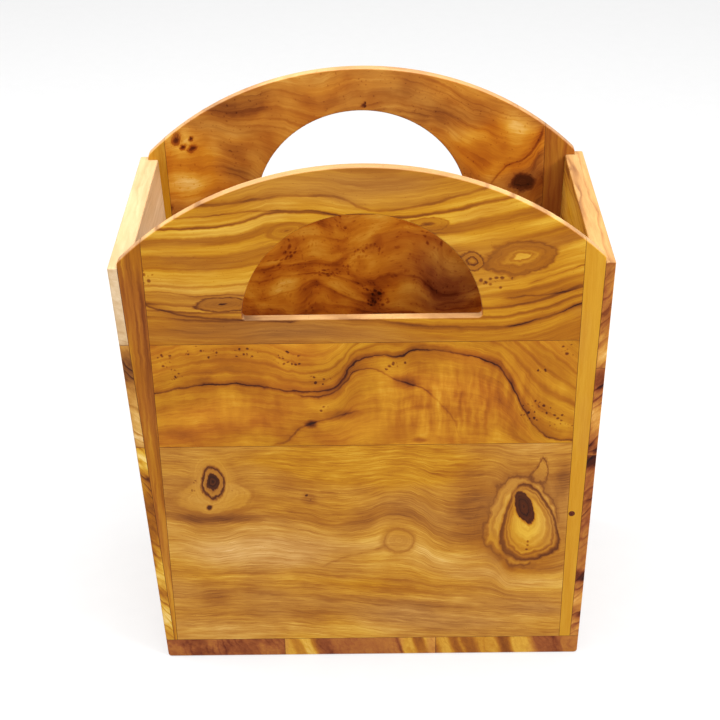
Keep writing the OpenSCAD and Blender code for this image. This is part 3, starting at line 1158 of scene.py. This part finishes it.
    def bottom_figure(self) -> Figure:
        """Describes the bottom board: a small knot, a large one and a blind one.

        Returns:
            The figure.
        """
        lower = Route(((-150, 66), (-60, 66), (-20, 62), (20, 56), (60, 52), (100, 48), (140, 44)))
        upper = Route(((-150, 130), (-124, 128), (-98, 120), (-74, 127), (-40, 121), (-20, 117),
            (0, 119), (22, 126), (36, 120), (48, 108), (64, 103), (80, 104), (98, 78), (120, 76),
            (140, 92)))
        wave = Route(((-30, 80), (-10, 89), (4, 93), (14, 97)))
        small_rings = ((0.0, 0.02, 1), (0.2, 0.12, 1), (0.28, 0.04, 1), (0.46, 0.1, 1),
            (0.52, 0.5, 1), (0.72, 0.56, 1), (0.78, 0.24, 1), (0.86, 0.14, 1), (0.94, 0.4, 1),
            (1.04, 0.66, 0.9), (1.45, 0.7, 0.5), (1.9, 0.68, 0))
        large_rings = ((0.0, 0.84, 1), (0.35, 0.8, 1), (0.6, 0.72, 1), (0.72, 0.56, 1),
            (0.78, 0.66, 1), (0.84, 0.42, 1), (0.88, 0.58, 1), (0.95, 0.3, 1), (1.0, 0.22, 1),
            (1.04, 0.5, 0.9), (1.12, 0.7, 0))
        skirt_rings = ((0.0, 0.7, 1), (0.62, 0.72, 1), (0.78, 0.6, 1), (0.88, 0.66, 1),
            (0.95, 0.5, 1), (1.0, 0.3, 0.9), (1.05, 0.4, 0.6), (1.16, 0.46, 0.4), (1.5, 0.46, 0))
        return Figure(
            lower=lower,
            upper=upper,
            height=70.0,
            crest=level(186.0),
            settled=60.0,
            tone=0.62,
            bands=((-0.5, 0.7), (-0.4, 0.62), (-0.3, 0.6), (-0.22, 0.66), (-0.12, 0.58),
                (-0.04, 0.66), (0.02, 0.58), (0.1, 0.68), (0.15, 0.6), (0.22, 0.66), (0.4, 0.72),
                (0.55, 0.76), (0.8, 0.72), (0.92, 0.6), (0.99, 0.48), (1.08, 0.54), (1.2, 0.6),
                (1.5, 0.62)),
            veins=(
                Vein(wave, core=1.2, shade=6.0, depth=0.14, above=-1.0, ends=(-32, 16)),
            ),
            patches=(
                Patch((0, 168), (70, 26), 0.03), Patch((-104, 53), (24, 12), -0.16),
                Patch((70, 132), (26, 42), -0.2), Patch((128, 150), (12, 26), -0.24),
                Patch((-110, 123), (26, 8), -0.18), Patch((-84, 122), (26, 7), -0.24),
                Patch((0, 46), (170, 15), -0.07), Patch((-37, 138), (8, 10), -0.12),
                Patch((-40, 36), (50, 12), -0.07), Patch((20, 60), (60, 10), -0.08),
                Patch((-70, 92), (80, 22), 0.07), Patch((0, 24), (60, 10), 0.08),
            ),
            hues=(
                Patch((0, 165), (90, 32), -0.9), Patch((-70, 92), (90, 30), 0.6),
                Patch((20, 66), (70, 20), -0.3), Patch((60, 36), (120, 24), 0.45),
                Patch((105, 118), (26, 40), -0.7),
            ),
            knots=(
                Knot((-98, 140), (24, 13), ((0.0, 0.7, 0.8), (0.6, 0.7, 0.7), (0.93, 0.66, 0.6),
                    (1.02, 0.5, 0.6), (1.5, 0.46, 0)), ragged=0.14),
                Knot((-98.5, 151), (8.2, 14), small_rings, turn=3, ragged=0.14),
                Knot((-101.5, 131.5), (2.0, 2.0), ((0.0, 0.08, 1), (0.7, 0.12, 1), (1.0, 0.3, 0.6),
                    (1.4, 0.5, 0))),
                Knot((22, 101.5), (10.5, 11), ((0.0, 0.6, 0.6), (0.4, 0.54, 0.6), (0.75, 0.6, 0.5),
                    (0.95, 0.46, 0.8), (1.05, 0.5, 0.5), (1.35, 0.6, 0)), ragged=0.1),
                Knot((113, 158), (4.5, 11), ((0.0, 0.7, 1), (0.7, 0.66, 1), (0.92, 0.2, 0.9),
                    (1.2, 0.5, 0)), turn=-8, pear=0.5, ragged=0.3),
                Knot((102.5, 118), (24, 36), skirt_rings, turn=4, pear=0.12, ragged=0.2),
                Knot((107.5, 116.5), (17.5, 31), large_rings, turn=7, pear=0.46, ragged=0.09),
                Knot((104.5, 128), (5.8, 13.5), ((0.0, 0.05, 1), (0.25, 0.14, 1), (0.5, 0.04, 1),
                    (0.75, 0.12, 1), (0.95, 0.08, 1), (1.05, 0.6, 0.8), (1.35, 0.7, 0)), turn=18,
                    ragged=0.12),
            ),
            pins=(
                Patch((107, 98), (8, 7), 1.1), Patch((-37, 137), (6, 7), 0.9),
                Patch((-110, 148), (4, 9), 0.9), Patch((-88, 143), (4, 6), 0.9),
            ),
        )

    def plan(self) -> None:
        """Lists the panel's boards with their woods."""
        stile = straight(-20, 20, tone=0.5)
        golden = straight(-20, 20, tone=0.7)
        self.boards = [
            Board("front_top_board", "front_top_wood", OliveWood(
                "oiled_olive_front_top", Lay.PANEL, self.top_figure(), seed=1.0,
                wander=1.6, hue=0.08, band=0.12, streak=0.22, fibre=0.14, rings=0.05)),
            Board("front_middle_board", "front_middle_wood", OliveWood(
                "oiled_olive_front_middle", Lay.PANEL, self.middle_figure(), seed=2.0,
                other=Tint.AMBER, wander=1.2, wander_span=30.0, jag=1.6, hue=0.12,
                blotch=0.34, band=0.08, streak=0.14, fibre=0.12, rings=0.05,
                pin_gap=2.4)),
            Board("front_bottom_board", "front_bottom_wood", OliveWood(
                "oiled_olive_front_bottom", Lay.PANEL, self.bottom_figure(), seed=3.0,
                wander=3.0, hue=0.45, blotch=0.18, band=0.14, streak=0.18, fibre=0.32,
                rings=0.04)),
            Board("front_left_stile", "amber_stile_wood", OliveWood(
                "oiled_olive_amber_stile", Lay.STILE, stile, seed=4.0, hue=0.25,
                other=Tint.RED, wander=1.5, band=0.4, streak=0.4, rings=0.06)),
            Board("front_right_stile", "golden_stile_wood", OliveWood(
                "oiled_olive_golden_stile", Lay.STILE, golden, seed=5.0, hue=0.0,
                wander=0.6, band=0.05, streak=0.06, fibre=0.06, rings=0.02)),
        ]


@dataclass
class BackPanel(Assembly):
    """The back panel: three boards of burl and two end stiles."""

    def top_figure(self) -> Figure:
        """Describes the arched board: russet, with yellow places near its ends.

        Returns:
            The figure.
        """
        burr = ((0.0, 0.12, 1), (0.5, 0.2, 1), (0.8, 0.34, 0.9), (1.0, 0.3, 0.8), (1.3, 0.5, 0.3),
            (1.8, 0.55, 0))
        return Figure(
            lower=Route(((-150, 300), (-110, 322), (-80, 316), (-40, 300), (0, 310), (40, 318),
                (70, 300), (100, 285), (120, 310), (150, 330))),
            upper=Route(((-150, 330), (-110, 345), (-70, 352), (-30, 350), (0, 356), (40, 352),
                (80, 338), (110, 328), (150, 340))),
            height=34.0,
            tone=0.58,
            patches=(
                Patch((-116, 294), (24, 20), 0.34), Patch((-118, 322), (20, 16), 0.3),
                Patch((-78, 346), (34, 13), -0.2), Patch((-86, 306), (14, 26), -0.12),
                Patch((-40, 366), (40, 9), 0.12), Patch((72, 325), (22, 11), 0.22),
                Patch((104, 330), (20, 24), 0.26), Patch((88, 300), (16, 13), 0.2),
                Patch((122, 290), (14, 34), -0.26),
            ),
            hues=(
                Patch((-116, 306), (36, 34), -0.9), Patch((96, 318), (46, 34), -0.9),
            ),
            veins=(
                Vein(Route(((84, 285), (90, 296), (97, 303), (108, 308), (116, 316), (122, 334))),
                    core=1.2, shade=5.0, depth=0.26, steep=True, ends=(84, 126)),
            ),
            knots=(
                Knot((-122, 325), (3.6, 2.8), burr, ragged=0.3),
                Knot((-116.5, 320), (2.2, 1.8), burr, ragged=0.3),
                Knot((-110, 318), (3.0, 2.4), burr, ragged=0.3),
                Knot((-111, 324), (1.5, 1.3), burr, ragged=0.3),
                Knot((-129, 276), (5.0, 4.0), burr, ragged=0.3),
                Knot((1, 349), (1.8, 1.4), burr, ragged=0.3),
                Knot((110, 288), (9, 8), ((0.0, 0.12, 1), (0.6, 0.08, 1), (0.9, 0.2, 0.9),
                    (1.1, 0.42, 0.6), (1.8, 0.46, 0)), ragged=0.2),
            ),
            pins=(
                Patch((0, 349), (5, 4), 1.2), Patch((-130, 274), (8, 8), 1.2),
            ),
        )

    def burl_figure(self, low: float, high: float) -> Figure:
        """Describes a burl board.

        Args:
            low: its lower edge, in millimetres.
            high: its upper edge, in millimetres.

        Returns:
            The figure.
        """
        return straight(
            low, high, tone=0.6,
            patches=(
                Patch((-10, 215), (28, 14), -0.1), Patch((70, 205), (30, 30), -0.14),
                Patch((-50, 208), (22, 12), 0.14), Patch((5, 240), (26, 16), 0.1),
                Patch((12, 203), (12, 16), -0.16),
            ),
            hues=(Patch((60, 215), (50, 60), 0.9),),
            pins=(
                Patch((-22, 214), (16, 10), 0.9), Patch((-6, 222), (14, 9), 0.9),
                Patch((8, 232), (16, 9), 0.9), Patch((-14, 260), (16, 8), 0.8),
                Patch((10, 204), (18, 12), 0.9), Patch((-54, 236), (14, 20), 0.5),
                Patch((44, 240), (14, 16), 0.5),
            ),
        )

    def plan(self) -> None:
        """Lists the panel's boards with their woods."""
        burl = {"main": Tint.AMBER, "other": Tint.RED, "wander": 22.0,
                "wander_span": 48.0, "pin_depth": 0.26, "pin_soft": 0.3,
                "ring_gap": 14.0, "jag": 1.6}
        self.boards = [
            Board("back_top_board", "back_burl_wood", OliveWood(
                "oiled_olive_back_top", Lay.PANEL, self.top_figure(), seed=11.0,
                main=Tint.AMBER, other=Tint.TAN, hue=0.5, wander=12.0,
                wander_span=50.0, blotch=0.4, band=0.2, streak=0.2, rings=0.14,
                pin_gap=3.4, pin_soft=0.2, jag=1.6)),
            Board("back_middle_board", "back_burl_wood", OliveWood(
                "oiled_olive_back_middle", Lay.PANEL, self.burl_figure(180, 267),
                seed=12.0, hue=0.0, blotch=0.7, band=0.3, streak=0.1, rings=0.22,
                pin_gap=2.9, **burl)),
            Board("back_bottom_board", "back_burl_wood", OliveWood(
                "oiled_olive_back_bottom", Lay.PANEL, self.burl_figure(15, 180),
                seed=13.0, hue=0.2, blotch=0.5, band=0.3, streak=0.14, rings=0.2,
                pin_gap=4.4, **burl)),
            Board("back_left_stile", "golden_stile_wood", OliveWood(
                "oiled_olive_back_left_stile", Lay.STILE,
                straight(-20, 20, tone=0.7), seed=14.0, hue=0.2, wander=0.8,
                band=0.06, streak=0.1, rings=0.03)),
            Board("back_right_stile", "amber_stile_wood", OliveWood(
                "oiled_olive_back_right_stile", Lay.STILE,
                straight(-20, 20, tone=0.55), seed=15.0, main=Tint.RED,
                other=Tint.GOLD, hue=0.4, wander=1.5, band=0.2, streak=0.24)),
        ]


@dataclass
class SideWall(Assembly):
    """A side wall: three boards whose grain runs from front to back."""

    side: str = "left"
    woods: tuple[OliveWood, ...] = ()
    slots: tuple[str, ...] = ("dark_side_wood",) * 3

    def plan(self) -> None:
        """Lists the wall's boards, from the top down."""
        parts = ("top", "middle", "bottom")
        self.boards = [
            Board(f"{self.side}_side_{part}_board", slot, wood)
            for part, slot, wood in zip(parts, self.slots, self.woods)
        ]


def side_walls() -> tuple[SideWall, SideWall]:
    """Describes the two side walls.

    Returns:
        The left wall and the right wall.
    """
    dark = {"main": Tint.GOLD, "other": Tint.TAN, "wander": 6.0, "end_tone": 0.0,
            "ring_gap": 8.0, "rings": 0.4, "band": 0.3, "streak": 0.2}
    left = SideWall(
        side="left",
        woods=(
            OliveWood("oiled_olive_left_side_top", Lay.SIDE, straight(
                255, 310, tone=0.7, ends=(Patch((0, 252), (900, 9), -0.3),)),
                main=Tint.CREAM, other=Tint.TAN, end=Tint.CREAM, end_tone=0.0,
                hue=0.25, tilt=0.5, seed=21.0, band=0.3, streak=0.2, rings=0.16,
                # A weaker painted highlight on its upward faces
                painted_sheen=0.5),
            OliveWood("oiled_olive_left_side_middle", Lay.SIDE, straight(
                180, 256, tone=0.68, ends=(
                    Patch((0, 240), (900, 24), -0.3), Patch((0, 203), (900, 22), 0.16),
                    Patch((0, 188), (900, 10), 0.2))),
                seed=22.0, hue=0.4, end=Tint.TAN, tilt=0.9, **dark),
            OliveWood("oiled_olive_left_side_bottom", Lay.SIDE, straight(
                15, 180, tone=0.66, ends=(
                    Patch((0, 168), (900, 14), 0.3), Patch((0, 124), (900, 42), -0.24),
                    Patch((0, 76), (900, 22), 0.25), Patch((0, 36), (900, 30), 0.25))),
                seed=23.0, hue=0.3, end=Tint.GOLD, tilt=1.2, **dark),
        ),
        slots=("pale_side_wood", "dark_side_wood", "dark_side_wood"),
    )
    right = SideWall(
        side="right",
        woods=(
            OliveWood("oiled_olive_right_side_top", Lay.SIDE, straight(
                236, 310, tone=0.7, ends=(
                    Patch((0, 285), (900, 44), -0.12), Patch((0, 245), (900, 9), 0.14))),
                # A darker painted highlight on its upward faces
                seed=24.0, hue=0.3, tilt=-0.9, sheen_lift=0.08, **dark),
            OliveWood("oiled_olive_right_side_middle", Lay.SIDE, straight(
                170, 236, tone=0.66, ends=(
                    Patch((0, 228), (900, 14), -0.3), Patch((0, 198), (900, 18), 0.24),
                    Patch((0, 176), (900, 9), -0.2))),
                seed=25.0, hue=0.1, end=Tint.RED, tilt=-1.1, **dark),
            OliveWood("oiled_olive_right_side_bottom", Lay.SIDE, straight(
                15, 170, tone=0.6, ends=(
                    Patch((0, 163), (900, 12), -0.4), Patch((0, 120), (900, 40), -0.05),
                    Patch((0, 70), (900, 9), -0.3), Patch((0, 48), (900, 14), 0.24),
                    Patch((0, 24), (900, 14), 0.2))),
                seed=26.0, hue=0.15, end=Tint.RED, tilt=-1.0, **dark),
        ),
    )
    return left, right


@dataclass
class Base(Assembly):
    """The base: three boards whose end grain shows along the front."""

    def plan(self) -> None:
        """Lists the base's boards with their woods."""
        striped = {"main": Tint.RED, "other": Tint.GOLD, "tilt": 0.3, "wander": 3.0,
                   "wander_span": 25.0, "end_tone": 0.0}
        left = straight(-145, -57, tone=0.5)
        middle = straight(
            -57, 47,
            bands=((-0.5, 0.6), (0.0, 0.86), (0.06, 0.84), (0.09, 0.6), (0.13, 0.62), (0.15, 0.86),
                (0.2, 0.86), (0.23, 0.5), (0.3, 0.3), (0.34, 0.5), (0.36, 0.56), (0.6, 0.58),
                (0.77, 0.62), (0.79, 0.36), (0.81, 0.8), (0.88, 0.84), (0.91, 0.42), (0.96, 0.5),
                (0.98, 0.84), (1.5, 0.6)),
            hues=(Patch((0, -45), (900, 18), 1.5), Patch((0, 34), (900, 16), 1.5)),
        )
        right = straight(
            47, 147,
            bands=((-0.5, 0.2), (0.0, 0.2), (0.04, 0.6), (0.08, 0.82), (0.13, 0.8), (0.16, 0.5),
                (0.2, 0.44), (0.22, 0.66), (0.25, 0.4), (0.3, 0.44), (0.34, 0.76), (0.44, 0.76),
                (0.48, 0.34), (0.53, 0.38), (0.57, 0.82), (0.68, 0.8), (0.73, 0.5), (0.83, 0.46),
                (0.88, 0.3), (0.92, 0.64), (1.5, 0.6)),
            hues=(Patch((0, 60), (900, 22), 1.3), Patch((0, 94), (900, 32), 1.3)),
        )
        self.boards = [
            Board("base_left_board", "base_wood", OliveWood(
                "oiled_olive_base_left", Lay.BASE, left, seed=31.0, hue=0.1,
                blotch=0.5, band=0.2, streak=0.2, rings=0.2, **striped)),
            Board("base_middle_board", "base_wood", OliveWood(
                "oiled_olive_base_middle", Lay.BASE, middle, seed=32.0, hue=0.15,
                band=0.08, streak=0.14, rings=0.1, **striped)),
            Board("base_right_board", "base_wood", OliveWood(
                "oiled_olive_base_right", Lay.BASE, right, seed=33.0, hue=0.2,
                band=0.08, streak=0.14, rings=0.1, **striped)),
        ]


@dataclass
class Fittings(Assembly):
    """The round plug in the front right stile, and the dowels inside the joints."""

    def plan(self) -> None:
        """Lists the plug, whose end is eased a little."""
        plug = PlainWood(
            "sanded_walnut_plug", Shade.PLUG_DARK, Shade.PLUG_LIGHT, (900, 900, 900)
        )
        self.boards = [Board("stile_plug", "plug_wood", plug, arris=0.2)]

    def build(self, shop: Shop, glue: bpy.types.Material) -> None:
        """Makes the plug, and gives the dowels their wood.

        Args:
            shop: the CAD boards.
            glue: the material of the glue lines.
        """
        super().build(shop, glue)
        beech = PlainWood(
            "turned_beech_dowel", Shade.BEECH_DARK, Shade.BEECH_LIGHT, (900, 900, 120)
        ).dress()
        for name in ("left_base_dowels", "right_base_dowels"):
            dowels = shop.nodes[name]
            dowels.data.materials.clear()
            dowels.data.materials.append(beech)
            LOG.info("%s: dressed in %s", name, beech.name)


def glue_line() -> bpy.types.Material:
    """Wires dried wood glue and oil, which gives glued edges a fine dark line.

    Returns:
        The material.
    """
    line = PlainWood("dried_glue_line", Shade.GLUE, Shade.PLUG_LIGHT, (300, 300, 300))
    return line.dress()


@dataclass
class Studio:
    """A white floor, soft light from the upper right, and the camera."""

    # Where the camera looks, how far off it stands, and its angles in degrees
    target: tuple[float, float, float] = (-0.0025, 0.0, 0.1941)
    distance: float = 0.99226
    azimuth: float = 0.604
    elevation: float = 32.324
    roll: float = -1.009
    lens: float = 73.42
    top_power: float = 33.0
    key_power: float = 20.0
    left_power: float = 22.0
    fill_power: float = 3.0
    sky: float = 0.55
    # Light that comes up through the floor, as from a light table
    glow: float = 0.55
    # The floor's width, and how far it lies under the rack's foot, in metres
    floor_size: float = 12.0
    floor_drop: float = 0.0002

    def lay_floor(self) -> None:
        """Lays a matt white floor far wider than the view."""
        bpy.ops.object.select_all(action="DESELECT")
        bpy.ops.mesh.primitive_plane_add(
            size=self.floor_size, location=(0, 0, -self.floor_drop)
        )
        floor = bpy.context.object
        floor.name = "studio_floor"
        bpy.ops.object.transform_apply(location=True)
        g = Graph("matt_white_floor_paper")
        spot = g.add("TexCoord", out="Object")
        noise = g.add("TexNoise", {"Vector": spot, "Scale": 60.0, "Detail": 3.0})
        stops = (
            (0.3, linear(Shade.FLOOR_LOW.value)), (0.7, linear(Shade.FLOOR_HIGH.value))
        )
        colour = g.add("ValToRGB", (noise,), stops=stops)
        shader = g.add(
            "BsdfPrincipled",
            {
                "Base Color": colour,
                "Roughness": 0.9,
                "Emission Color": (1.0, 1.0, 1.0, 1.0),
                "Emission Strength": self.glow,
            },
        )
        g.add("OutputMaterial", (shader,))
        floor.data.materials.append(g.material)

    def light(self) -> None:
        """Hangs four soft lights: above, key, left and fill, in a white room."""
        world = bpy.data.worlds.new("white_room")
        world.use_nodes = True
        background = world.node_tree.nodes["Background"]
        background.inputs["Color"].default_value = (1.0, 1.0, 1.0, 1.0)
        background.inputs["Strength"].default_value = self.sky
        bpy.context.scene.world = world
        middle = Vector((0.0, 0.0, 0.2))
        for name, place, size, power in (
            ("top_light", (0.25, -0.25, 1.9), 1.3, self.top_power),
            ("key_light", (1.15, -0.65, 1.25), 0.6, self.key_power),
            ("left_light", (-0.9, 0.15, 1.5), 0.7, self.left_power),
            ("fill_light", (-1.2, -1.3, 0.9), 1.2, self.fill_power),
        ):
            lamp = bpy.data.lights.new(name, "AREA")
            lamp.size = size
            lamp.energy = power
            lamp_object = bpy.data.objects.new(name, lamp)
            lamp_object.location = place
            aim = middle - Vector(place)
            lamp_object.rotation_euler = aim.to_track_quat("-Z", "Y").to_euler()
            bpy.context.scene.collection.objects.link(lamp_object)

    def place_camera(self) -> None:
        """Stands the camera at its angle and makes it the scene's."""
        turn, rise = math.radians(self.azimuth), math.radians(self.elevation)
        back = Vector((
            math.sin(turn) * math.cos(rise), -math.cos(turn) * math.cos(rise),
            math.sin(rise),
        ))
        right = (-back).cross(Vector((0, 0, 1))).normalized()
        up = right.cross(-back)
        lean = math.radians(self.roll)
        across = right * math.cos(lean) + up * math.sin(lean)
        upward = up * math.cos(lean) - right * math.sin(lean)
        stand = Matrix((across, upward, back)).transposed().to_4x4()
        stand.translation = Vector(self.target) + back * self.distance
        data = bpy.data.cameras.new("camera")
        data.lens = self.lens
        data.sensor_width = 36.0
        camera = bpy.data.objects.new("camera", data)
        camera.matrix_world = stand
        bpy.context.scene.collection.objects.link(camera)
        bpy.context.scene.camera = camera

    def build(self) -> None:
        """Sets up the whole studio."""
        self.lay_floor()
        self.light()
        self.place_camera()
        bpy.context.scene.view_settings.view_transform = "Standard"
        LOG.info("studio: floor, lights and camera")


def main() -> None:
    """Builds the rack's looks in order."""
    logging.basicConfig(level=logging.INFO, format="%(message)s")
    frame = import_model()
    shop = Shop(frame["nodes"])
    shop.measure()
    glue = glue_line()
    left, right = side_walls()
    for part in (Base(), left, right, BackPanel(), FrontPanel(), Fittings()):
        part.build(shop, glue)
    Studio().build()
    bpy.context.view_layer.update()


if __name__ == "__main__":
    main()
